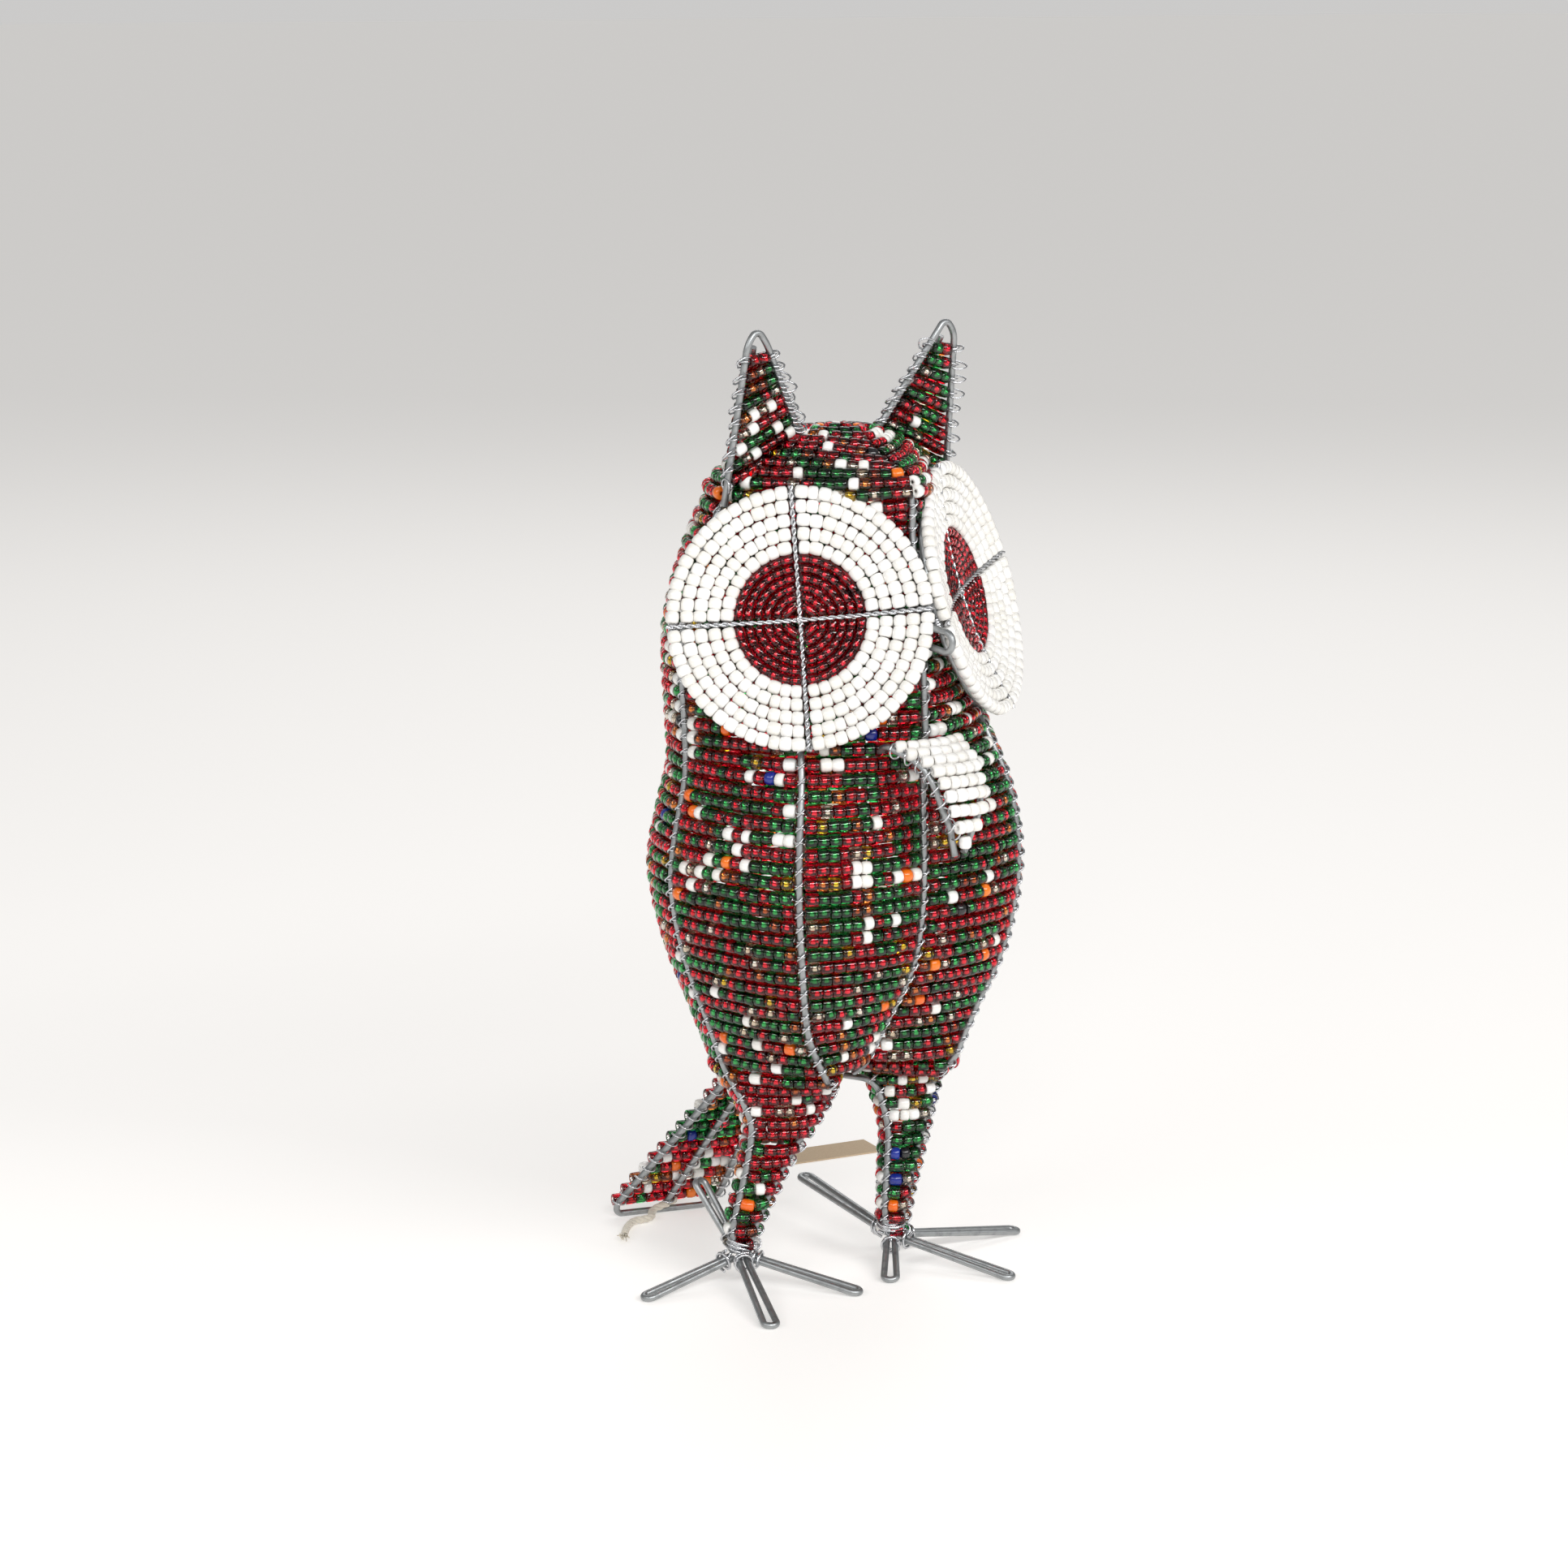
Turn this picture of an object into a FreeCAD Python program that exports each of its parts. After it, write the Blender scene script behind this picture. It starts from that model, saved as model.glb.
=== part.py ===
# Beaded wire owl, standing.  An open cage of galvanised wire carries rows of glass beads that are
# strung on fine binding wire and wound on at every rib.  Millimetres, +Z up.  The owl faces -Y and
# its right side is -X.  The origin is on the floor, under the middle of the owl without its tag.
import FreeCAD
import Part
import math
import os

V = FreeCAD.Vector

# ---- driving dimensions -------------------------------------------------------------------------
HEAVY_R = 1.0          # galvanised frame wire
TWISTED_R = 0.65       # eye spokes, two fine wires twisted together
BINDING_R = 0.3        # fine binding wire
FOOT_BINDING_R = 0.5   # binding wire round the ankles
BEAD_R = 1.95          # size 6/0 glass bead
SMALL_BEAD_R = 1.3     # pupil bead
LEG_BEAD_R = 1.8
LEG_END_GAP = 0.9
LEG_ROWS_OUT = 1.6     # the leg's rows pass this far outside all its wires but one
EAR_BEAD_R = 1.8
EAR_END_GAP = 1.35
BEAK_BEAD_R = 1.85
ROW_PITCH = 4.2        # one bead row to the next, along a side rib
STRAND_END_GAP = 1.75  # from a rib's centre line to the first bead's face

# Each eye disc: centre, then degrees that its face turns out from straight ahead and up from level,
# and that its cross of spokes is turned in the disc.
RIGHT_EYE = ((-30.8, -25.2, 202.2), -36.0, 17.0, 4.5)
LEFT_EYE = ((32.4, -23.4, 205.3), 38.5, 16.0, 8.0)
EYE_DISH = 5.0         # how far the middle lies behind the edge
PUPIL_RADIUS = 18.8
PUPIL_ROWS = 7
WHITE_ROWS = 5
WHITE_PITCH = 3.84
WHITE_BEAD_R = 1.87
EYE_RIM_RADIUS = 35.6
EYE_RIM_BEHIND = 2.7

CROWN_RING_Z = 248.4
CROWN_LEVELS = 2.2     # above this level the rows lie over the ribs instead of between them
CROWN_CENTRE_Z = 200.0
CROWN_ROWS_OUT = 1.5   # how far those rows' centre lines lie outside the ribs'
CROWN_ROW_GAP = 0.5    # from a rib's centre line to the end of one of them
CROWN_ROWS = [(2.6, 251.6), (6.6, 250.9)]     # radius and height of the crown's two rings of beads

# The right ear, whose left twin is its mirror: its wires' feet on the head, and its tip.
EAR_INNER = (-14.5, -0.5, 251.8)
EAR_OUTER = (-38.6, -0.6, 240.6)
EAR_REAR = (-27.5, 10.5, 246.5)
EAR_TIP = (-33.0, -7.0, 282.5)
EAR_TIP_ARCH = (3.3, 4.4)     # its half width, and how far the arch's ends are below the tip
EAR_ROWS = 9
EAR_WIRE_BELOW = (2.0, 9.0, 6.0)     # how far the three wires run on below those feet

# The hooked beak's rows from root to tip: x of the right end, x of the left end, y and z.
BEAK_ROWS = [(-12.6, 8.8, -46.0, 166.5), (-11.4, 8.1, -49.6, 165.0), (-8.4, 8.1, -53.0, 163.1),
             (-6.8, 7.8, -56.0, 160.6), (-5.6, 7.6, -58.1, 157.3), (-4.4, 7.3, -59.3, 153.6),
             (-2.8, 8.2, -59.3, 149.0), (0.5, 6.8, -58.5, 143.9), (2.3, 5.5, -57.3, 138.9)]
BEAK_ROOTS = [(-13.5, -36, 162), (11, -38, 162)]
BEAK_TIPS = [(1.6, -56.0, 134.8), (4.4, -56.4, 135.6)]
BEAK_EDGE = (1.3, 1.8)     # the edge wires lie this far outside and behind the rows' ends
BEAK_BULGE = 0.38      # how far each row bows forward, as a share of its half width

# The tail's two edges, each from the body to the floor.  It trails towards the owl's right.
TAIL_RIGHT = [(-6.0, 36.0, 58.0), (-36.0, 73.0, 1.0)]
TAIL_LEFT = [(6.0, 36.0, 58.0), (-2.0, 64.0, 1.0)]
TAIL_JOIN = (2.3, 36.9, 64.0)     # where its edge wires end, each side of the middle one
TAIL_MIDDLE_TOP = [(0.0, 39.3, 71.0), (0.0, 36.8, 64.5)]     # the middle one lies on the back rib
TAIL_ROWS = 15
TAIL_ROWS_ABOVE = 3.0
TAIL_CORNER = 3.0      # how far its bottom corners are cut across
TAIL_CORNER_SHARE = 0.06

TOE_HALF_GAP = 1.9
TOE_ROOT_SHARE = 0.6
TWINE_R = 1.0

# ---- the ribs -----------------------------------------------------------------------------------
# Each rib passes the same twelve levels, from the crown ring down to the hips.  The right side is
# given, and the left side is its mirror.
FRONT = [(0, -10, 249.5), (0.5, -21, 243.5), (1.5, -33.5, 237.5), (1.5, -34.5, 224), (0, -41, 197),
         (0, -43.5, 170), (0, -42.5, 154), (0, -42.8, 140), (0, -43.3, 122), (0, -39, 100),
         (0, -25.5, 80), (0, -14.5, 64)]
FRONT_SIDE = [(-7, -7, 249.5), (-14, -10.5, 245.5), (-21.5, -12.5, 236), (-22.2, -13, 220),
              (-24.5, -17, 195), (-31, -26, 170), (-35.5, -33, 154), (-38.2, -36, 140),
              (-39, -37, 122), (-36, -34.5, 100), (-30, -28.5, 80), (-19, -22, 64)]
SIDE = [(-10, 0, 249.5), (-22, 2, 245.5), (-34.5, 4, 236), (-43, 5.5, 220), (-49.5, 7, 195),
        (-49, 7, 170), (-48.5, 7, 154), (-51.5, 7, 140), (-54, 7, 122), (-49.5, 7, 100),
        (-42, 6.5, 80), (-36.5, 5.5, 64)]
BACK_SIDE = [(-7, 7, 249.5), (-15.5, 17, 245.5), (-24.5, 25.5, 236), (-30.5, 31.5, 220),
             (-35, 36.5, 195), (-34.6, 36.2, 170), (-34.3, 36, 154), (-36.5, 38, 140),
             (-38.2, 40.3, 122), (-35, 36.8, 100), (-29.5, 31.5, 80), (-24.5, 28, 64)]
BACK = [(0, 10, 249.5), (0, 21, 245.5), (0, 31, 236), (0, 40, 220), (0, 45.5, 195), (0, 45, 170),
        (0, 44.5, 154), (0, 47, 140), (0, 50, 122), (0, 46, 100), (0, 39.5, 80), (0, 33, 64)]
HIP_LEVEL = len(FRONT) - 1
NECK_LEVEL = 6

# The legs lean towards -X.  Each station is height, centre x, centre y and the wires' distance out.
RIGHT_LEG = [(56, -20, 1, 14.5), (47, -20.5, 0.5, 10), (40, -24, 0, 7.6), (31, -28, 0, 5.6),
             (18, -33.5, 0, 3.9), (9, -35, 0, 2.6)]
LEFT_LEG = [(56, 20.5, -3, 11.5), (47, 20.5, -4.5, 8.3), (40, 19.8, -6, 6.4), (31, 17, -8, 5.2),
            (18, 14, -9.5, 3.7), (9, 13.5, -9.5, 2.6)]
RIGHT_LEG_DIRECTIONS = [(0.64, -0.77), (-1.0, -0.1), (-0.3, 0.95), (0.9, 0.44)]
LEFT_LEG_DIRECTIONS = [(0.57, -0.82), (0.95, 0.31), (-0.1, 1.0), (-0.95, -0.31)]
RIGHT_THIGH = [(-14.5, -16.5, 60), (-35.5, 3, 60), (-24.4, 22, 60), (-4.5, 10, 60)]
LEFT_THIGH = [(23, -20, 60), (34, 2, 60), (22, 20, 60), (5.5, 6, 60)]
LEFT_FRONT_HIP = (25, -25, 64)
RIGHT_INNER_HIP = (-3.0, 3.0, 63)
LEFT_INNER_HIP = (3.5, 0.0, 63)

# Each toe is a hairpin: where it leaves the ankle, and its tip.
RIGHT_FOOT = (-35.0, 0.0, 8.0)
LEFT_FOOT = (13.5, -9.5, 8.0)
RIGHT_TOES = [(-69, -1, HEAVY_R), (-52, -42, HEAVY_R), (-14, -32, HEAVY_R), (-38.5, 17, 27)]
LEFT_TOES = [(60, -11, HEAVY_R), (31.5, -46, HEAVY_R), (0, -28, HEAVY_R), (14, 38, 14)]

parts = {}


def vec(p):
    return V(*p)


def mirrored(points):
    return [(-x, y, z) for x, y, z in points]


def unit(v):
    return V(v) * (1.0 / v.Length)


# ---- wires and strands --------------------------------------------------------------------------
def soft_path(points):
    """Straight runs joined by tangent arcs, as large as the runs allow."""
    pts = [vec(p) for p in points]
    edges = []
    at = pts[0]
    for before, corner, after in zip(pts, pts[1:], pts[2:]):
        run_in = corner - before
        run_out = after - corner
        turn = run_in.getAngle(run_out)
        if turn < 0.002:
            continue
        trim = 0.45 * min(run_in.Length, run_out.Length)
        radius = trim / math.tan(turn / 2)
        start = corner - unit(run_in) * trim
        end = corner + unit(run_out) * trim
        inward = unit(unit(run_out) - unit(run_in))
        middle = corner + inward * (radius / math.cos(turn / 2) - radius)
        edges.append(Part.LineSegment(at, start).toShape())
        edges.append(Part.Arc(start, middle, end).toShape())
        at = end
    edges.append(Part.LineSegment(at, pts[-1]).toShape())
    return Part.Wire(edges)


def swept(path, radius):
    first = path.OrderedEdges[0]
    start = first.valueAt(first.FirstParameter)
    along = first.tangentAt(first.FirstParameter)
    section = Part.Wire(Part.makeCircle(radius, start, along))
    return path.makePipeShell([section], True, False)


def wire(points, radius=HEAVY_R):
    return swept(soft_path(points), radius)


def rod(p, q, radius):
    return Part.makeCylinder(radius, (q - p).Length, p, q - p)


def strand(p, q, radius=BEAD_R, gap=STRAND_END_GAP):
    """A straight run of beads between two ribs, as one plain rod; None where it is too short."""
    if (q - p).Length < 2 * gap + 1.5:
        return None
    along = unit(q - p)
    return rod(p + along * gap, q - along * gap, radius)


def ring(centre, axis, major, minor):
    return Part.makeTorus(major, minor, centre, axis)


def sleeve(centre, axis, inner, outer, length):
    """A short close turn of binding wire."""
    start = centre - unit(axis) * (length / 2)
    return (Part.makeCylinder(outer, length, start, axis)
            .cut(Part.makeCylinder(inner, length, start, axis)))


def keep(name, shapes):
    solids = [s for s in shapes if s is not None]
    parts[name] = solids[0] if len(solids) == 1 else Part.makeCompound(solids)


def on_rib(stations, level):
    """The point at a level between two stations, on a smooth curve through them."""
    last = len(stations) - 1
    i = max(0, min(last - 1, int(level)))
    f = level - i
    a, b, c, d = [vec(stations[max(0, min(last, k))]) for k in (i - 1, i, i + 1, i + 2)]
    return (b * 2 + (c - a) * f + (a * 2 - b * 5 + c * 4 - d) * f ** 2
            + (b * 3 - a - c * 3 + d) * f ** 3) * 0.5


def rows_along(stations, pitch):
    """Levels of rows a pitch apart along a rib."""
    steps = 40 * (len(stations) - 1)
    levels = []
    travelled = pitch / 2
    last = on_rib(stations, 0)
    for k in range(1, steps + 1):
        level = k / 40
        here = on_rib(stations, level)
        travelled += (here - last).Length
        last = here
        if travelled >= pitch:
            travelled -= pitch
            levels.append(level)
    return levels


# ---- cage ---------------------------------------------------------------------------------------
def leg_wire(stations, thigh, direction):
    dx, dy = direction
    return [thigh] + [(x + r * dx, y + r * dy, z) for z, x, y, r in stations]


right_leg_wires = [leg_wire(RIGHT_LEG, t, d) for t, d in zip(RIGHT_THIGH, RIGHT_LEG_DIRECTIONS)]
left_leg_wires = [leg_wire(LEFT_LEG, t, d) for t, d in zip(LEFT_THIGH, LEFT_LEG_DIRECTIONS)]
left_front_side = mirrored(FRONT_SIDE)[:-1] + [LEFT_FRONT_HIP]

# Going round the owl from the front rib by its right side.
RIBS = [("front", FRONT), ("right_front", FRONT_SIDE), ("right_side", SIDE),
        ("right_back", BACK_SIDE), ("back", BACK), ("left_back", mirrored(BACK_SIDE)),
        ("left_side", mirrored(SIDE)), ("left_front", left_front_side)]
LOWER_ENDS = {"front": [(0, -9, 60.5)],
              "back": [(0, 22, 58), (0, 8, 55), (0, 2, 54)],
              "right_front": right_leg_wires[0], "right_side": right_leg_wires[1],
              "right_back": right_leg_wires[2], "left_front": left_leg_wires[0],
              "left_side": left_leg_wires[1], "left_back": left_leg_wires[2]}

rib_lines = {}
for name, stations in RIBS:
    body = [tuple(on_rib(stations, 0.5 * k)) for k in range(2 * HIP_LEVEL + 1)]
    rib_lines[name] = body + LOWER_ENDS[name]
    keep(name + "_rib", [wire(rib_lines[name])])
keep("right_inner_leg_wire", [wire([(-1.5, 6, 57)] + right_leg_wires[3][1:])])
keep("left_inner_leg_wire", [wire([(2.0, 2, 57)] + left_leg_wires[3][1:])])
keep("crown_ring", [ring(V(0, 0, CROWN_RING_Z), V(0, 0, 1), 10, HEAVY_R)])
keep("crown_strands", [ring(V(0, 0, z), V(0, 0, 1), r, BEAD_R) for r, z in CROWN_ROWS])

# ---- beaded panels of the body and head ---------------------------------------------------------
def over_rib(point):
    """Out from a rib's centre line to the rows that lie on top of it."""
    return point + unit(point - V(0, 0, CROWN_CENTRE_Z)) * CROWN_ROWS_OUT


levels = rows_along(SIDE, ROW_PITCH)
for (name_a, rib_a), (name_b, rib_b) in zip(RIBS, RIBS[1:] + RIBS[:1]):
    head, belly = [], []
    for level in levels:
        p, q = on_rib(rib_a, level), on_rib(rib_b, level)
        if level < CROWN_LEVELS:
            row = strand(over_rib(p), over_rib(q), BEAD_R, CROWN_ROW_GAP)
        else:
            row = strand(p, q)
        (head if level < NECK_LEVEL else belly).append(row)
    keep("head_strands_" + name_a + "_to_" + name_b, head)
    keep("belly_strands_" + name_a + "_to_" + name_b, belly)

lashings = []
for name, stations in RIBS:
    for level in levels:
        here = on_rib(stations, level)
        along = on_rib(stations, level + 0.02) - on_rib(stations, level - 0.02)
        lashings.append(sleeve(here, along, HEAVY_R, HEAVY_R + 2 * BINDING_R, 2.2 * BINDING_R))
keep("rib_lashings", lashings)

# ---- legs ---------------------------------------------------------------------------------------
right_hips = [FRONT_SIDE[-1], SIDE[-1], BACK_SIDE[-1], RIGHT_INNER_HIP]
left_hips = [LEFT_FRONT_HIP] + mirrored([SIDE[-1], BACK_SIDE[-1]]) + [LEFT_INNER_HIP]
for side, hips, leg_wires, directions, bare in (
        ("right", right_hips, right_leg_wires, RIGHT_LEG_DIRECTIONS, 1),
        ("left", left_hips, left_leg_wires, LEFT_LEG_DIRECTIONS, 3)):
    rows = []
    wires = [[hip] + leg_line for hip, leg_line in zip(hips, leg_wires)]
    leg_levels = rows_along(wires[1], ROW_PITCH)
    for level in leg_levels:
        points = [on_rib(w, level) + V(dx, dy, 0) * (0 if k == bare else LEG_ROWS_OUT)
                  for k, (w, (dx, dy)) in enumerate(zip(wires, directions))]
        for p, q in zip(points, points[1:] + points[:1]):
            rows.append(strand(p, q, LEG_BEAD_R, LEG_END_GAP))
    keep(side + "_leg_strands", rows)


# ---- feet and other hairpins --------------------------------------------------------------------
def hairpin(root, end, apart, root_share=1.0, radius=HEAVY_R):
    """A frame wire bent back on itself, with a round end; apart is from its middle to each side,
    and root_share how much of that is left at the root."""
    along = unit(end - root)
    half = apart.Length
    bend = end - along * half
    path = Part.Wire([Part.LineSegment(root + apart * root_share, bend + apart).toShape(),
                      Part.Arc(bend + apart, end, bend - apart).toShape(),
                      Part.LineSegment(bend - apart, root - apart * root_share).toShape()])
    return swept(path, radius)


def toe(ankle, tip):
    """One toe, a hairpin of frame wire lying flat."""
    base, end = vec(ankle), vec(tip)
    along = unit(end - base)
    across = unit(along.cross(V(0, 0, 1))) * TOE_HALF_GAP
    return hairpin(base + along * 3.0, end, across, TOE_ROOT_SHARE)


for side, foot, tips in (("right", RIGHT_FOOT, RIGHT_TOES), ("left", LEFT_FOOT, LEFT_TOES)):
    keep(side + "_foot_toes", [toe(foot, tip) for tip in tips])
    turns = [ring(vec(foot) + V(0, 0, 1.5 + 1.1 * k), V(0, 0, 1), 4.6, FOOT_BINDING_R)
             for k in range(4)]
    keep(side + "_foot_lashing", turns)


# ---- ears ---------------------------------------------------------------------------------------
def ear(side, place):
    inner, outer, rear, tip = [vec(p) for p in place]
    outside = unit(V(outer.x - inner.x, 0, 0))
    half, drop = EAR_TIP_ARCH
    tip_inner = tip - outside * half - V(0, 0, drop)
    tip_outer = tip + outside * half - V(0, 0, drop)
    tip_rear = tip + V(0, 2.0, -1.2 * drop)
    tops = (tip_inner, tip_outer, tip_rear)
    feet = (inner, outer, rear)
    ends = [foot + unit(foot - top) * below
            for foot, top, below in zip(feet, tops, EAR_WIRE_BELOW)]
    bow = [tuple(p) for p in (ends[0], tip_inner, tip, tip_outer, ends[1])]
    keep(side + "_ear_frame", [wire(bow), rod(ends[2], tip_rear, HEAVY_R)])
    rows = []
    for k in range(EAR_ROWS):
        f = (k - 0.6) / (EAR_ROWS - 0.4)
        points = [foot + (top - foot) * f for foot, top in zip(feet, tops)]
        for p, q in zip(points, points[1:] + points[:1]):
            rows.append(strand(p, q, EAR_BEAD_R, EAR_END_GAP))
    keep(side + "_ear_strands", rows)


RIGHT_EAR = [EAR_INNER, EAR_OUTER, EAR_REAR, EAR_TIP]
ear("right", RIGHT_EAR)
ear("left", mirrored(RIGHT_EAR))


# ---- eyes ---------------------------------------------------------------------------------------
def eye(side, placing):
    place, turn, lift, spin = placing
    turn, lift = math.radians(turn), math.radians(lift)
    facing = V(math.sin(turn) * math.cos(lift), -math.cos(turn) * math.cos(lift), math.sin(lift))
    centre = vec(place)
    level = FreeCAD.Rotation(facing, spin).multVec(unit(V(0, 0, 1).cross(facing)))
    upward = facing.cross(level)
    reach = PUPIL_RADIUS + WHITE_ROWS * WHITE_PITCH

    def dished(radius, direction):
        return centre - facing * EYE_DISH * (1 - (radius / reach) ** 2) + direction * radius

    def ring_rows(radius, bead):
        """A ring of beads in four quarters, each between two spokes."""
        gap = (TWISTED_R + 0.35) / radius
        solids = []
        for quarter in range(4):
            first = quarter * math.pi / 2 + gap
            last = (quarter + 1) * math.pi / 2 - gap
            ends = [dished(radius, level * math.cos(t) + upward * math.sin(t))
                    for t in (first, (first + last) / 2, last)]
            solids.append(swept(Part.Wire([Part.Arc(*ends).toShape()]), bead))
        return solids

    pupil_pitch = PUPIL_RADIUS / PUPIL_ROWS
    pupil = []
    for k in range(1, PUPIL_ROWS):
        pupil += ring_rows((k + 0.5) * pupil_pitch, SMALL_BEAD_R)
    white = []
    for k in range(WHITE_ROWS):
        white += ring_rows(PUPIL_RADIUS + (k + 0.5) * WHITE_PITCH, WHITE_BEAD_R)
    keep(side + "_pupil_strands", pupil)
    keep(side + "_eye_white_strands", white)
    behind = centre - facing * EYE_RIM_BEHIND
    keep(side + "_eye_rim", [ring(behind, facing, EYE_RIM_RADIUS, HEAVY_R)])
    spokes = []
    for direction in (level, -level, upward, -upward):
        bend = (tuple(dished(1.6, direction)), tuple(dished(reach / 2, direction)),
                tuple(dished(reach, direction)))
        spokes.append(wire(bend, TWISTED_R))
    hub_knot = Part.makeSphere(1.6, centre - facing * (EYE_DISH - 0.4))
    keep(side + "_eye_spokes", spokes + [hub_knot])


eye("right", RIGHT_EYE)
eye("left", LEFT_EYE)


keep("brow_hairpin", [hairpin(V(-0.6, -44.2, 197), V(1.2, -54.5, 195.5), V(0, 0.3, 2.9))])

# ---- beak ---------------------------------------------------------------------------------------
beak_rows = []
right_edge, left_edge = [BEAK_ROOTS[0]], [BEAK_ROOTS[1]]
outside, behind = BEAK_EDGE
for right_x, left_x, y, z in BEAK_ROWS:
    right, left = V(right_x, y, z), V(left_x, y, z)
    bow = V(0, -BEAK_BULGE * (left_x - right_x) / 2, 0)
    beak_rows.append(swept(Part.Wire([Part.Arc(right, (right + left) * 0.5 + bow, left).toShape()]),
                           BEAK_BEAD_R))
    right_edge.append((right_x - outside, y + behind, z))
    left_edge.append((left_x + outside, y + behind, z))
keep("beak_strands", beak_rows)
keep("beak_frame", [wire(right_edge + BEAK_TIPS[:1]), wire(left_edge + BEAK_TIPS[1:])])

# ---- tail ---------------------------------------------------------------------------------------
right_top, right_end = [vec(p) for p in TAIL_RIGHT]
left_top, left_end = [vec(p) for p in TAIL_LEFT]
across = unit(left_end - right_end)
left_join = vec(TAIL_JOIN)
right_join = V(-left_join.x, left_join.y, left_join.z)
tail_bow = [right_join, right_top, right_end + (right_top - right_end) * TAIL_CORNER_SHARE,
            right_end + across * TAIL_CORNER, left_end - across * TAIL_CORNER,
            left_end + (left_top - left_end) * TAIL_CORNER_SHARE, left_top, left_join]
keep("tail_frame", [wire([tuple(p) for p in tail_bow])])
middle_top, middle_end = (right_top + left_top) * 0.5, (right_end + left_end) * 0.5
down = unit(middle_end - middle_top)
keep("tail_centre_wire", [wire(TAIL_MIDDLE_TOP + [tuple(middle_top),
                                                  tuple(middle_end - down * 1.5)])])
outward = unit(across.cross(down))
if outward.z < 0:
    outward = outward * -1.0
tail_rows = []
for k in range(TAIL_ROWS):
    f = (k + 0.8) / (TAIL_ROWS + 0.6)
    right = right_top + (right_end - right_top) * f + outward * TAIL_ROWS_ABOVE
    left = left_top + (left_end - left_top) * f + outward * TAIL_ROWS_ABOVE
    tail_rows.append(rod(right, left, BEAD_R))
keep("tail_strands", tail_rows)

# ---- tag and its twine --------------------------------------------------------------------------
KNOT = V(-15.6, 68.2, 3.6)
TWINE_TO_TAG = [(-13.6, 70.6, 2.4), (-6, 82, 1.2), (10, 92, 1.2), (24, 96, 1.2), (36, 93, 1.2),
                (44.5, 93, 1.6)]
TWINE_END = [(-17.8, 66.6, 3.2), (-23, 69, 1.4), (-27, 60.5, 1.4), (-35, 63, 1.4), (-43, 52, 1.4)]
TAG_LENGTH = 36.0
TAG_WIDTH = 14.0
TAG_THICK = 0.5
keep("twine_knot", [Part.makeSphere(2.6, KNOT)])
keep("tag_twine", [wire(TWINE_TO_TAG, TWINE_R)])
keep("twine_end", [wire(TWINE_END, TWINE_R)])
clip = 4.0
outline = [(0, clip), (clip, 0), (TAG_LENGTH, 0), (TAG_LENGTH, TAG_WIDTH), (clip, TAG_WIDTH),
           (0, TAG_WIDTH - clip)]
corners = [V(x, y, 0) for x, y in outline]
tag = Part.Face(Part.makePolygon(corners + corners[:1])).extrude(V(0, 0, TAG_THICK))
tag = tag.cut(Part.makeCylinder(1.6, 4, V(4.5, TAG_WIDTH / 2, -1)))
tag.rotate(V(0, 0, 0), V(0, 0, 1), -8)
tag.translate(V(40.5, 87, 0.1))
keep("paper_tag", [tag])

# ---- frame origin -------------------------------------------------------------------------------
ON_CORD = ("twine_knot", "tag_twine", "twine_end", "paper_tag")
owl = [shape.optimalBoundingBox(False) for name, shape in parts.items() if name not in ON_CORD]
shift = V(-(min(b.XMin for b in owl) + max(b.XMax for b in owl)) / 2,
          -(min(b.YMin for b in owl) + max(b.YMax for b in owl)) / 2,
          -min(b.ZMin for b in owl))
os.makedirs("parts", exist_ok=True)
for name, shape in parts.items():
    shape.translate(shift)
    shape.exportStep("parts/" + name + ".step")
print(len(parts), "nodes, moved by", [round(c, 2) for c in shift])
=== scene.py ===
# The looks of a beaded wire owl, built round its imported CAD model.
# Metres, +Z up, and the owl faces -Y.
import math
import random

import bpy
import numpy as np
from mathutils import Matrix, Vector


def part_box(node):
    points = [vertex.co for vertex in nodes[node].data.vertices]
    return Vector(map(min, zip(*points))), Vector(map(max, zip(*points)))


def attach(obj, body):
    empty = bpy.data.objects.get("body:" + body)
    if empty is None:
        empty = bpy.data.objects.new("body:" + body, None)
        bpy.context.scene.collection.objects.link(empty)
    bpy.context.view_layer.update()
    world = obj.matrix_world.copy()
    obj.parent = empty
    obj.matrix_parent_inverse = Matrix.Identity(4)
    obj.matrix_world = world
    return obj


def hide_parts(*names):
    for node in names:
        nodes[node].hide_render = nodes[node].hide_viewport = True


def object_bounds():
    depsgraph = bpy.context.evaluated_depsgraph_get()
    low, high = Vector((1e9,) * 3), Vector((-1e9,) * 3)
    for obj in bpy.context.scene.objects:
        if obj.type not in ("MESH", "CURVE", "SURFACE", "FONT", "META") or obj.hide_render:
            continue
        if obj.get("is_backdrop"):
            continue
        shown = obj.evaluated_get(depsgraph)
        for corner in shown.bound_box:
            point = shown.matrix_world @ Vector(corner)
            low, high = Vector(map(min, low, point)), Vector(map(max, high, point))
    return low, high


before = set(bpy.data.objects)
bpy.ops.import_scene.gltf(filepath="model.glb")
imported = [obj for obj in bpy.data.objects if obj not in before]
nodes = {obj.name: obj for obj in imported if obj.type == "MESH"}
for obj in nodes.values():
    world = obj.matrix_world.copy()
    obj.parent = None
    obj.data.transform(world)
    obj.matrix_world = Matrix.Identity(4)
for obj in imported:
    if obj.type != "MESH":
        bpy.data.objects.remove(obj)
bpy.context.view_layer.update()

MM = 0.001
WELD = 0.01                    # corners are merged to the nearest such millimetre
draw = random.Random(7)

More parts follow.
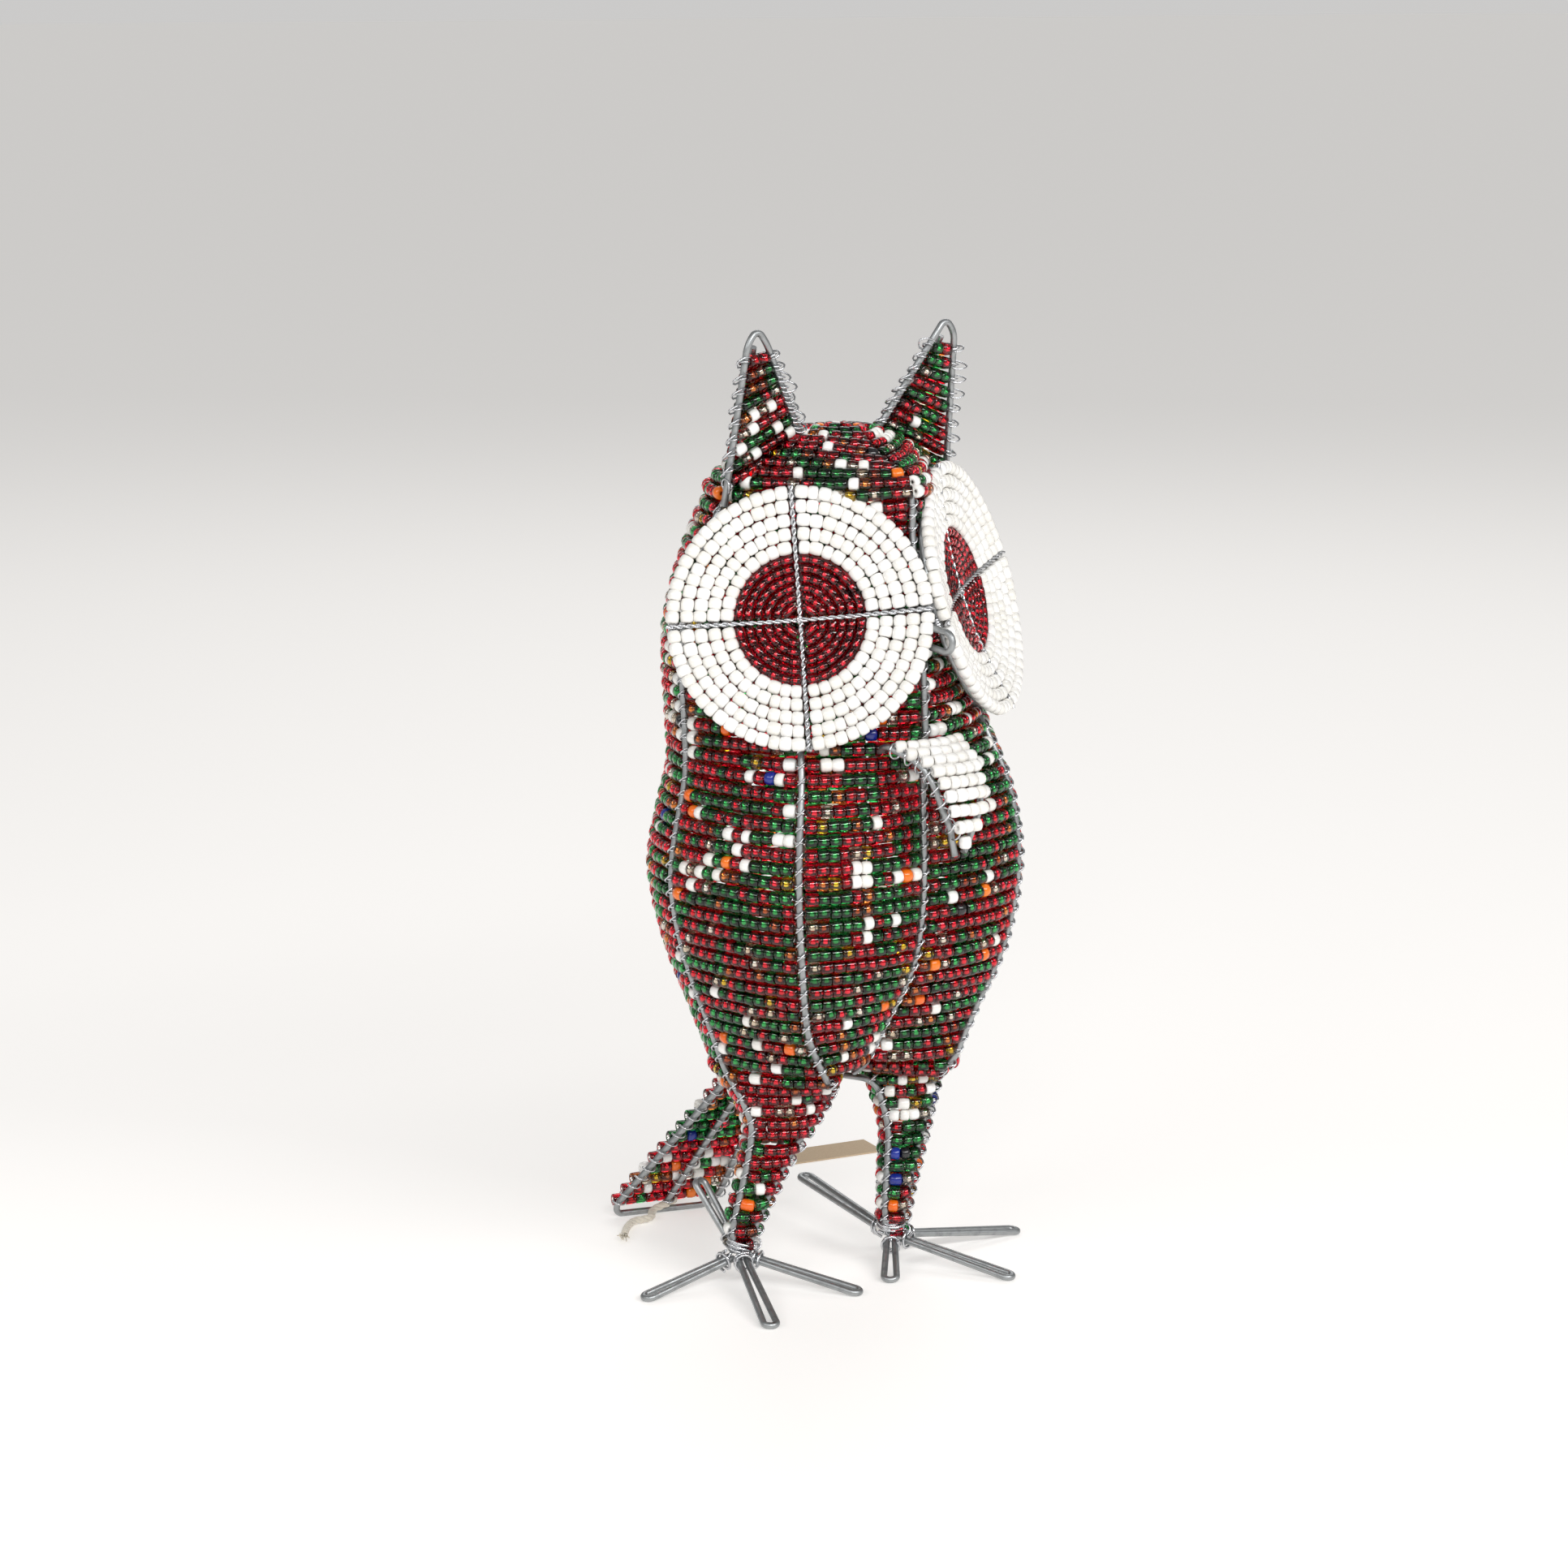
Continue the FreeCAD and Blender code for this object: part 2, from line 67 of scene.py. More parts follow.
# ---- sizes --------------------------------------------------------------------------------------
BEAD_RADIUS = 2.05 * MM
BEAD_LENGTH = 3.3 * MM
LINED_HOLE = 0.46              # of the bead's radius
SOLID_HOLE = 0.3
LEG_BEAD_RADIUS = 1.9 * MM
EAR_BEAD_RADIUS = 1.85 * MM
BEAK_BEAD_RADIUS = 1.95 * MM
BEAK_BEAD_LENGTH = 3.4 * MM
PUPIL_BEAD_RADIUS = 1.42 * MM
PUPIL_BEAD_LENGTH = 3.0 * MM
EYE_BEAD_RADIUS = 2.03 * MM
EYE_BEAD_LENGTH = 3.45 * MM
FRAME_WIRE = 1.0 * MM          # radius
BINDING_WIRE = 0.3 * MM        # radius
SPOKE_WIRE = 0.44 * MM
ANKLE_WIRE = 0.5 * MM
BODY_GAP = 1.75 * MM           # from a rib's centre line to the first bead
LEG_GAP = 0.9 * MM
EAR_GAP = 1.35 * MM
HEAD_BOW = 0.075               # how far rows bow out, as a share of their length
BELLY_BOW = 0.08
LEG_BOW = 0.12
BODY_WRAP = (0.12 * MM, 0.6 * MM)     # a wrap's distance off its frame wire, and its slack
LEG_WRAP = (0.15 * MM, 0.6 * MM)
EAR_WRAP = (0.7 * MM, 3.2 * MM)
STRAND_RADIUS = 1.95 * MM      # of the plain rod that a row of the body's beads replaces
BOW_LEVEL = 4 * MM             # strands nearer in height than this share one middle
WRAP_LEVEL = 6 * MM
EYE_DISH = 5.0 * MM
PUPIL_RADIUS = 18.8 * MM
PUPIL_ROWS = 7
WHITE_ROWS = 5
WHITE_PITCH = 3.84 * MM
SPOKE_PITCH = 5.0 * MM
RIM_TIE = (1.45 * MM, 0.75 * MM)      # radius and pitch of a coil, here and below
BEAK_COIL = (2.1 * MM, 4.1 * MM)
TAIL_COIL = (1.9 * MM, 3.8 * MM)
TAIL_ROOT_COIL = (2.8 * MM, 0.95 * MM)
TOE_COIL = (2.9 * MM, 1.5 * MM)
ANKLE_RADIUS = 3.4 * MM               # of the innermost of its loose turns
ANKLE_STEP = 0.5 * MM                 # from one of them to the next
ANKLE_PITCH = 1.25 * MM
ANKLE_HALF_HEIGHT = 1.8 * MM
TAIL_ROWS_ABOVE = 3.0 * MM            # the rows' height over the tail's wires
PLIES = 3
PLY_STEPS = 8                         # control points in one turn of a ply
PLY_RADIUS = 0.66 * MM
PLY_OFFSET = 0.6 * MM
TWINE_LAY = 6.5 * MM                  # along the twine for one turn of a ply
KNOT_SIZE = 0.62 * MM
KNOT_PLY = 0.72 * MM
FIBRES = 26
FIBRE_RADIUS = 0.17 * MM

# The camera's place and lens, in degrees, metres and millimetres.
VIEW_FROM = 35.0
CAMERA_AWAY = 1.145
CAMERA_HEIGHT = 0.380
CAMERA_TURN = 34.21
CAMERA_DOWN = 11.53
CAMERA_LENS = 90.9
CAMERA_FILM = 36
FLOOR_SIZE = 60
SKY_LIGHT = 0.3                # the sky's strength as light, and as it is seen
SKY_SEEN = 0.6
OWL_MIDDLE = Vector((0, 0, 0.14))

# How often each colour of bead is strung, by region.
MIXED = {"red": 42, "green": 31, "white": 7, "amber": 9, "clear": 6, "orange": 3, "yellow": 1.5,
         "black": 0.5, "blue": 0.5}
PALE_MIXED = dict(MIXED, white=17, red=38, green=28)


# ---- small helpers ------------------------------------------------------------------------------
def unit(v):
    return v / np.linalg.norm(v)


def deselect():
    bpy.ops.object.select_all(action="DESELECT")


def solids_of(node):
    """The corner points of each separate solid of a CAD node."""
    mesh = nodes[node].data
    points = np.empty(len(mesh.vertices) * 3)
    mesh.vertices.foreach_get("co", points)
    points = points.reshape(-1, 3)
    mesh.calc_loop_triangles()
    faces = np.empty(len(mesh.loop_triangles) * 3, dtype=np.int64)
    mesh.loop_triangles.foreach_get("vertices", faces)
    merged, place = np.unique(np.round(points / (WELD * MM)).astype(np.int64), axis=0,
                              return_inverse=True)
    faces = place.reshape(-1)[faces].reshape(-1, 3)
    label = np.arange(len(merged))
    while True:
        lowest = label.copy()
        np.minimum.at(lowest, faces.ravel(), np.repeat(label[faces].min(axis=1), 3))
        lowest = lowest[lowest]
        if (lowest == label).all():
            break
        label = lowest
    corners = merged * WELD * MM
    return [corners[label == k] for k in np.unique(label)]


def strand_line(corners):
    """Start, middle and end of the line that a rod or a bowed rod follows."""
    centre = corners.mean(axis=0)
    _, _, axes = np.linalg.svd(corners - centre, full_matrices=False)
    along = (corners - centre) @ axes[0]
    low, high = along.min(), along.max()
    edge = 0.04 * (high - low)
    start = corners[along < low + edge].mean(axis=0)
    end = corners[along > high - edge].mean(axis=0)
    waist = corners[abs(along - (low + high) / 2) < 3 * edge]
    straight = (start + end) / 2
    middle = waist.mean(axis=0) if len(waist) > 6 else straight
    return start, middle, end


def on_bow(line, f):
    """A point and direction along a shallow bow through three points."""
    start, middle, end = line
    turn = middle * 2 - (start + end) / 2
    point = start * (1 - f) ** 2 + turn * 2 * f * (1 - f) + end * f ** 2
    slope = (turn - start) * 2 * (1 - f) + (end - turn) * 2 * f
    return point, unit(slope)


# ---- materials ----------------------------------------------------------------------------------
def new_group(name, inputs, outputs):
    group = bpy.data.node_groups.new(name, "ShaderNodeTree")
    for label, kind in inputs:
        group.interface.new_socket(label, in_out="INPUT", socket_type=kind)
    for label, kind in outputs:
        group.interface.new_socket(label, in_out="OUTPUT", socket_type=kind)
    return group, group.nodes.new("NodeGroupInput"), group.nodes.new("NodeGroupOutput")


def speckle_group():
    """Two scales of noise: a soft mottle, and a fine grain for bumps."""
    group, come, go = new_group("speckle", [("Mottle Scale", "NodeSocketFloat"),
                                            ("Grain Scale", "NodeSocketFloat")],
                                [("Mottle", "NodeSocketFloat"), ("Grain", "NodeSocketFloat")])
    where = group.nodes.new("ShaderNodeTexCoord")
    for label in ("Mottle", "Grain"):
        noise = group.nodes.new("ShaderNodeTexNoise")
        noise.inputs["Detail"].default_value = 3
        group.links.new(where.outputs["Object"], noise.inputs["Vector"])
        group.links.new(come.outputs[label + " Scale"], noise.inputs["Scale"])
        group.links.new(noise.outputs["Fac"], go.inputs[label])
    return group


SPECKLE = speckle_group()


def material(name, base, rough, **values):
    """A material with its Principled shader's plain values set; names as on the shader."""
    made = bpy.data.materials.new(name)
    made.use_nodes = True
    shader = made.node_tree.nodes["Principled BSDF"]
    shader.inputs["Base Color"].default_value = (*base, 1)
    shader.inputs["Roughness"].default_value = rough
    for label, value in values.items():
        shader.inputs[label.replace("_", " ")].default_value = value
    return made, made.node_tree, shader


def speckled(tree, mottle, grain):
    node = tree.nodes.new("ShaderNodeGroup")
    node.node_tree = SPECKLE
    node.inputs["Mottle Scale"].default_value = mottle
    node.inputs["Grain Scale"].default_value = grain
    return node


def spread(tree, value, low, high):
    """A 0 to 1 value spread over a narrower range."""
    node = tree.nodes.new("ShaderNodeMapRange")
    node.inputs["From Min"].default_value = 0.3
    node.inputs["From Max"].default_value = 0.7
    node.inputs["To Min"].default_value = low
    node.inputs["To Max"].default_value = high
    tree.links.new(value, node.inputs["Value"])
    return node.outputs["Result"]


def ramp(tree, value, *colours):
    node = tree.nodes.new("ShaderNodeValToRGB")
    stops = node.color_ramp.elements
    for k, colour in enumerate(colours):
        place = k / (len(colours) - 1)
        stop = stops[k] if k < 2 else stops.new(place)
        stop.position = place
        stop.color = (*colour, 1)
    tree.links.new(value, node.inputs["Fac"])
    return node.outputs["Color"]


def bumped(tree, shader, height, depth, strength=0.5):
    node = tree.nodes.new("ShaderNodeBump")
    node.inputs["Distance"].default_value = depth
    node.inputs["Strength"].default_value = strength
    tree.links.new(height, node.inputs["Height"])
    tree.links.new(node.outputs["Normal"], shader.inputs["Normal"])


def tint_of(tree):
    """Each bead's own number, 0 to 1."""
    node = tree.nodes.new("ShaderNodeAttribute")
    node.attribute_name = "tint"
    return node.outputs["Fac"]


def glass(name, dark, light):
    """Clear coloured glass, a little different from bead to bead."""
    made, tree, shader = material(name, light, 0.04, Transmission_Weight=1.0, IOR=1.5,
                                  Specular_IOR_Level=0.8)
    tree.links.new(ramp(tree, tint_of(tree), dark, light), shader.inputs["Base Color"])
    return made


def opaque_glass(name, dark, light):
    """Solid coloured glass with a fired gloss and a faint mottle."""
    made, tree, shader = material(name, light, 0.2, Coat_Weight=0.4, Coat_Roughness=0.06)
    tree.links.new(ramp(tree, tint_of(tree), dark, light), shader.inputs["Base Color"])
    noise = speckled(tree, 900, 5000)
    tree.links.new(spread(tree, noise.outputs["Mottle"], 0.14, 0.3), shader.inputs["Roughness"])
    return made


def galvanised(name, dark, light, rough_low, rough_high):
    """Zinc: cloudy grey with dull patches and a fine drawn grain."""
    made, tree, shader = material(name, light, rough_low, Metallic=1.0)
    noise = speckled(tree, 420, 3600)
    tree.links.new(ramp(tree, noise.outputs["Mottle"], dark, light, light),
                   shader.inputs["Base Color"])
    tree.links.new(spread(tree, noise.outputs["Mottle"], rough_high, rough_low),
                   shader.inputs["Roughness"])
    bumped(tree, shader, noise.outputs["Grain"], 0.05 * MM, 0.35)
    return made


def cotton(name):
    made, tree, shader = material(name, (0.8, 0.75, 0.64), 0.9, Sheen_Weight=0.4)
    noise = speckled(tree, 700, 6000)
    tree.links.new(ramp(tree, noise.outputs["Mottle"], (0.62, 0.56, 0.45), (0.85, 0.8, 0.7)),
                   shader.inputs["Base Color"])
    bumped(tree, shader, noise.outputs["Grain"], 0.15 * MM, 0.8)
    return made


def kraft(name):
    made, tree, shader = material(name, (0.6, 0.46, 0.31), 0.85)
    noise = speckled(tree, 300, 2600)
    tree.links.new(ramp(tree, noise.outputs["Grain"], (0.5, 0.37, 0.24), (0.68, 0.54, 0.38)),
                   shader.inputs["Base Color"])
    bumped(tree, shader, noise.outputs["Grain"], 0.06 * MM, 0.5)
    return made


BEAD_GLASS = {
    "red": glass("red_glass", (0.6, 0.003, 0.01), (0.92, 0.014, 0.04)),
    "green": glass("green_glass", (0.004, 0.14, 0.022), (0.04, 0.44, 0.1)),
    "amber": glass("amber_glass", (0.3, 0.035, 0.006), (0.8, 0.24, 0.04)),
    "clear": glass("clear_glass", (0.62, 0.5, 0.36), (0.86, 0.8, 0.72)),
    "yellow": glass("yellow_glass", (0.6, 0.36, 0.01), (0.75, 0.5, 0.02)),
    "white": opaque_glass("white_glass", (0.84, 0.82, 0.77), (0.92, 0.91, 0.89)),
    "orange": opaque_glass("orange_glass", (0.83, 0.13, 0.004), (0.9, 0.2, 0.008)),
    "black": opaque_glass("black_glass", (0.006, 0.006, 0.007), (0.012, 0.012, 0.014)),
    "blue": opaque_glass("blue_glass", (0.004, 0.012, 0.18), (0.01, 0.03, 0.3)),
}
LINED = ("red", "green", "amber", "clear", "yellow")
SILVER = material("silver_lining", (0.9, 0.88, 0.85), 0.12, Metallic=1.0)[0]
FRAME_ZINC = galvanised("frame_zinc", (0.17, 0.175, 0.175), (0.38, 0.395, 0.4), 0.36, 0.55)
BINDING_ZINC = galvanised("binding_zinc", (0.38, 0.39, 0.4), (0.6, 0.61, 0.63), 0.16, 0.3)
COTTON = cotton("cotton_twine")
KRAFT = kraft("kraft_card")


# ---- beads --------------------------------------------------------------------------------------
def turned_bead(name, profile, sides):
    """One bead of unit radius and half length, turned about Z from (radius, height) points."""
    deselect()
    bpy.ops.mesh.primitive_circle_add(vertices=sides, radius=profile[0][0],
                                      location=(0, 0, profile[0][1]))
    bead = bpy.context.object
    bead.name = name
    bpy.ops.object.transform_apply(location=True)
    bpy.ops.object.mode_set(mode="EDIT")
    for (r0, z0), (r1, z1) in zip(profile, profile[1:] + profile[:1]):
        bpy.ops.mesh.extrude_edges_move(TRANSFORM_OT_translate={"value": (0, 0, z1 - z0)})
        bpy.ops.transform.resize(value=(r1 / r0, r1 / r0, 1), center_override=(0, 0, 0))
    bpy.ops.mesh.select_all(action="SELECT")
    bpy.ops.mesh.remove_doubles(threshold=0.001)
    bpy.ops.mesh.normals_make_consistent(inside=False)
    bpy.ops.object.mode_set(mode="OBJECT")
    mesh = bead.data
    points = np.array([v.co for v in mesh.vertices])
    faces = np.array([list(p.vertices) for p in mesh.polygons])
    middle = points[faces].mean(axis=1)
    in_hole = np.hypot(middle[:, 0], middle[:, 1]) < profile[0][0] * 1.05
    bpy.data.objects.remove(bead)
    return points, faces, in_hole


LINED_BEAD = turned_bead("lined_bead", [(LINED_HOLE, -0.98), (0.88, -1.0), (0.98, -0.8),
                                        (1.0, 0.0), (0.98, 0.8), (0.88, 1.0),
                                        (LINED_HOLE, 0.98)], 12)
SOLID_BEAD = turned_bead("solid_bead", [(SOLID_HOLE, -0.95), (0.66, -1.0), (0.93, -0.74),
                                        (1.0, 0.0), (0.93, 0.74), (0.66, 1.0),
                                        (SOLID_HOLE, 0.95)], 12)


def bead_piece(name, pattern, places, colour, replaced):
    """All beads of one colour in one region, each stamped from the same turned bead."""
    points, faces, in_hole = pattern
    count = len(places)
    centres = np.array([p[0] for p in places])
    along = np.array([p[1] for p in places])
    sizes = np.array([p[2] for p in places])
    tint = np.array([p[3] for p in places])
    helper = np.where(abs(along[:, 2:3]) < 0.9, [[0, 0, 1.0]], [[1.0, 0, 0]])
    side = np.cross(helper, along)
    side /= np.linalg.norm(side, axis=1, keepdims=True)
    other = np.cross(along, side)
    x = points[None, :, 0:1] * sizes[:, None, 0:1] * side[:, None, :]
    y = points[None, :, 1:2] * sizes[:, None, 0:1] * other[:, None, :]
    z = points[None, :, 2:3] * sizes[:, None, 1:2] * along[:, None, :]
    corners = (centres[:, None, :] + x + y + z).reshape(-1, 3)
    quads = (faces[None] + np.arange(count)[:, None, None] * len(points)).reshape(-1, 4)
    mesh = bpy.data.meshes.new(name)
    mesh.vertices.add(len(corners))
    mesh.vertices.foreach_set("co", corners.ravel())
    mesh.loops.add(quads.size)
    mesh.loops.foreach_set("vertex_index", quads.ravel())
    mesh.polygons.add(len(quads))
    mesh.polygons.foreach_set("loop_start", np.arange(0, quads.size, 4))
    mesh.polygons.foreach_set("use_smooth", np.ones(len(quads), dtype=bool))
    mesh.materials.append(BEAD_GLASS[colour])
    if colour in LINED:
        mesh.materials.append(SILVER)
        mesh.polygons.foreach_set("material_index", np.tile(in_hole.astype(np.int32), count))
    shade = mesh.attributes.new("tint", "FLOAT", "POINT")
    shade.data.foreach_set("value", np.repeat(tint, len(points)))
    mesh.update(calc_edges=True)
    mesh.validate()
    piece = bpy.data.objects.new(name, mesh)
    bpy.context.collection.objects.link(piece)
    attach(piece, "root")
    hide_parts(*replaced)
    return piece


def pick_colour(mix, last):
    """The next bead's colour; beads were often strung two or three alike."""
    if last in ("red", "green") and draw.random() < 0.3:
        return last
    return draw.choices(list(mix), list(mix.values()))[0]


def string_beads(line, mix, radius, length):
    """Beads along one strand: centre, direction, radius and half length, tint and colour."""
    start, middle, end = line
    run = np.linalg.norm(middle - start) + np.linalg.norm(end - middle)
    count = max(1, round(run / length))
    shares = [draw.uniform(0.88, 1.12) for _ in range(count)]
    total = sum(shares)
    done = 0.0
    last = None
    beads = []
    for share in shares:
        f = (done + share / 2) / total
        done += share
        centre, along = on_bow(line, f)
        colour = pick_colour(mix, last)
        last = colour
        size = radius * draw.uniform(0.94, 1.03)
        half = run * share / total / 2 * draw.uniform(0.97, 1.02)
        jitter = np.array([draw.uniform(-1, 1) for _ in range(3)])
        along = unit(along + jitter * 0.07)
        centre = centre + jitter * 0.12 * MM
        beads.append((colour, (centre, along, (size, half), draw.random())))
    return beads


def bowed(lines, share):
    """The same strands bowed out from the middle of their region, by a share of their length."""
    middles = np.array([line[1] for line in lines])
    made = []
    for start, middle, end in lines:
        level = abs(middles[:, 2] - middle[2]) < BOW_LEVEL
        along = unit(end - start)
        outward = middle - middles[level].mean(axis=0)
        outward = outward - along * (outward @ along)
        reach = np.linalg.norm(outward)
        bow = outward / reach * share * np.linalg.norm(end - start) if reach > MM else 0 * outward
        made.append((start, middle + bow, end))
    return made


def beaded(region, names, mix, radius=BEAD_RADIUS, length=BEAD_LENGTH, bow=0.0):
    """Strings beads on every strand of some CAD nodes, and returns the strands' lines."""
    lines = [strand_line(corners) for name in names for corners in solids_of(name)]
    by_colour = {}
    for line in bowed(lines, bow):
        for colour, place in string_beads(line, mix, radius, length):
            by_colour.setdefault(colour, []).append(place)
    for colour, places in by_colour.items():
        pattern = LINED_BEAD if colour in LINED else SOLID_BEAD
        bead_piece(region + "_" + colour + "_beads", pattern, places, colour, names)
    return lines


# ---- wires --------------------------------------------------------------------------------------
def wire_piece(name, routes, radius, finish, replaced=(), sides=1):
    """One mesh of smooth wires, each along its own control points."""
    curve = bpy.data.curves.new(name, "CURVE")
    curve.dimensions = "3D"
    curve.bevel_depth = radius
    curve.bevel_resolution = sides
    curve.resolution_u = 2
    curve.use_fill_caps = True
    for route in routes:
        spline = curve.splines.new("NURBS")
        spline.points.add(len(route) - 1)
        for point, place in zip(spline.points, route):
            point.co = (*place, 1)
        spline.order_u = 3
        spline.use_endpoint_u = True
    made = bpy.data.objects.new(name, curve)
    bpy.context.collection.objects.link(made)
    deselect()
    made.select_set(True)
    bpy.context.view_layer.objects.active = made
    bpy.ops.object.convert(target="MESH")
    made = bpy.context.object
    made.data.materials.clear()
    made.data.materials.append(finish)
    bpy.ops.object.shade_smooth()
    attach(made, "root")
    if replaced:
        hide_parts(*replaced)
    return made


def coil(points, radius, pitch, start=0.0, per_turn=7):
    """Control points of a helix wound along a line of points."""
    points = [np.array(p) for p in points]
    legs = [np.linalg.norm(b - a) for a, b in zip(points, points[1:])]
    steps = max(3, int(sum(legs) / pitch * per_turn))
    route = []
    up = np.array([0.13, 0.29, 0.95])
    for k in range(steps + 1):
        travelled = sum(legs) * k / steps
        leg = 0
        while leg < len(legs) - 1 and travelled > legs[leg]:
            travelled -= legs[leg]
            leg += 1
        along = unit(points[leg + 1] - points[leg])
        side = unit(np.cross(up, along))
        other = np.cross(along, side)
        turn = start + 2 * math.pi * k / per_turn
        centre = points[leg] + along * travelled
        route.append(centre + (side * math.cos(turn) + other * math.sin(turn)) * radius)
    return route


def crossings(lines, gap):
    """Where two strands meet at a frame wire: the wire's centre and both strands' ends."""
    ends = []
    for start, middle, end in lines:
        along = unit(end - start)
        ends.append((start - along * gap, start))
        ends.append((end + along * gap, end))
    centres = np.array([c for c, _ in ends])
    used = set()
    met = []
    for k, (centre, face) in enumerate(ends):
        if k in used:
            continue
        away = np.linalg.norm(centres - centre, axis=1)
        away[list(used) + [k]] = 1
        other = int(away.argmin())
        if away[other] < 0.6 * MM:
            used.update((k, other))
            met.append((centre, face, ends[other][1]))
    return met


# A wrap's steps, a sixth of a turn each.  Every value is how far along the frame wire that step
# lies: the first few slant across its front, and the others come back level.
WRAP_LEAN = (1.0, 0.35, -0.35, -1.0, -0.6, -0.3, 0.0, 0.0, 0.0, 0.0)
FRONT_STEPS = 4
INTO_BEAD = 0.3 * MM


def wraps(lines, gap, wrap):
    """Binding wire from each strand once and a half round the frame wire and on to the next."""
    stand_off, slack = wrap
    met = crossings(lines, gap)
    centres = np.array([m[0] for m in met])
    routes = []
    for centre, first, second in met:
        level = abs(centres[:, 2] - centre[2]) < WRAP_LEVEL
        across = unit(second - first)
        outward = centre - centres[level].mean(axis=0)
        outward = unit(outward - across * (outward @ across))
        along = np.cross(across, outward)
        loose = draw.uniform(0.3, 1.0) * slack
        lean = draw.uniform(1.4, 2.0) * MM
        reach = FRAME_WIRE + BINDING_WIRE + stand_off
        route = [first + across * INTO_BEAD]
        for k, share in enumerate(WRAP_LEAN):
            turn = k * math.pi / 3
            front = max(0.0, math.sin(turn)) if k < FRONT_STEPS else 0.0
            place = centre - across * math.cos(turn) * reach
            place = place + outward * (math.sin(turn) * reach + front * loose)
            route.append(place + along * lean * share)
        route.append(second - across * INTO_BEAD)
        routes.append(route)
    return routes


# ---- the beaded cage ----------------------------------------------------------------------------
def panels(prefix):
    return sorted(name for name in nodes if name.startswith(prefix))


head_lines = beaded("head", panels("head_strands"), PALE_MIXED, bow=HEAD_BOW)
belly_lines = beaded("belly", panels("belly_strands"), MIXED, bow=BELLY_BOW)
wire_piece("rib_binding", wraps(head_lines + belly_lines, BODY_GAP, BODY_WRAP), BINDING_WIRE,
           BINDING_ZINC, ["rib_lashings"])
for side in ("right", "left"):
    leg_lines = beaded(side + "_leg", [side + "_leg_strands"], PALE_MIXED, LEG_BEAD_RADIUS,
                       bow=LEG_BOW)
    wire_piece(side + "_leg_binding", wraps(leg_lines, LEG_GAP, LEG_WRAP), BINDING_WIRE,
               BINDING_ZINC)
    ear_lines = beaded(side + "_ear", [side + "_ear_strands"], PALE_MIXED, EAR_BEAD_RADIUS)
    wire_piece(side + "_ear_binding", wraps(ear_lines, EAR_GAP, EAR_WRAP), BINDING_WIRE,
               BINDING_ZINC)


# ---- eyes ---------------------------------------------------------------------------------------
def eye(side):
    """White and red rings of beads in four quarters, between twisted wire spokes."""
    rim = solids_of(side + "_eye_rim")[0]
    middle = rim.mean(axis=0)
    tips = []
    for corners in solids_of(side + "_eye_spokes"):
        away = np.linalg.norm(corners - middle, axis=1)
        if away.max() > 30 * MM:
            tips.append(corners[away > away.max() - 0.6 * MM].mean(axis=0))
    reach = PUPIL_RADIUS + WHITE_ROWS * WHITE_PITCH
    centre = sum(tips) / len(tips)
    facing = unit(centre - middle)
    first = unit(tips[0] - centre)
    second = np.cross(facing, first)

    def dished(radius, turn, lift=0.0):
        direction = first * math.cos(turn) + second * math.sin(turn)
        behind = EYE_DISH * (1 - (radius / reach) ** 2) - lift
        return centre - facing * behind + direction * radius

    def ring(radius, bead_radius, bead_length):
        beads = []
        gap = 1.0 * MM / radius
        span = math.pi / 2 - 2 * gap
        count = max(1, round(span * radius / bead_length))
        for quarter in range(4):
            shares = [draw.uniform(0.86, 1.14) for _ in range(count)]
            done = 0.0
            for share in shares:
                f = (done + share / 2) / sum(shares)
                done += share
                turn = quarter * math.pi / 2 + gap + span * f
                here = dished(radius, turn)
                along = unit(dished(radius, turn + 0.01) - here)
                half = span * radius * share / sum(shares) / 2
                jitter = np.array([draw.uniform(-1, 1) for _ in range(3)])
                size = bead_radius * draw.uniform(0.96, 1.03)
                beads.append((here + jitter * 0.1 * MM, unit(along + jitter * 0.05),
                              (size, half), draw.random()))
        return beads

    pupil = []
    for k in range(PUPIL_ROWS):
        radius = (k + 0.5) * PUPIL_RADIUS / PUPIL_ROWS
        if radius > 2 * MM:
            pupil += ring(radius, PUPIL_BEAD_RADIUS, PUPIL_BEAD_LENGTH)
    white = []
    for k in range(WHITE_ROWS):
        white += ring(PUPIL_RADIUS + (k + 0.5) * WHITE_PITCH, EYE_BEAD_RADIUS, EYE_BEAD_LENGTH)
    bead_piece(side + "_pupil_beads", LINED_BEAD, pupil, "red", [side + "_pupil_strands"])
    bead_piece(side + "_eye_white_beads", SOLID_BEAD, white, "white",
               [side + "_eye_white_strands"])
    spokes = []
    rim_turns = []
    for quarter in range(4):
        turn = quarter * math.pi / 2
        spoke = [dished(r * reach, turn, 0.3 * MM) for r in (0.0, 0.33, 0.67, 1.0)]
        spokes += [coil(spoke, SPOKE_WIRE, SPOKE_PITCH, start) for start in (0.0, math.pi)]
        held = [dished(reach - 2 * MM, turn + a, -2.7 * MM) for a in (-0.06, 0.06)]
        rim_turns.append(coil(held, *RIM_TIE))
    knot = [dished(draw.uniform(0.2, 1.5) * MM, draw.uniform(0, 6.3), draw.uniform(0, 1.4) * MM)
            for _ in range(16)]
    wire_piece(side + "_eye_cross", spokes + rim_turns + [knot], SPOKE_WIRE, BINDING_ZINC,
               [side + "_eye_spokes"])


eye("right")
eye("left")

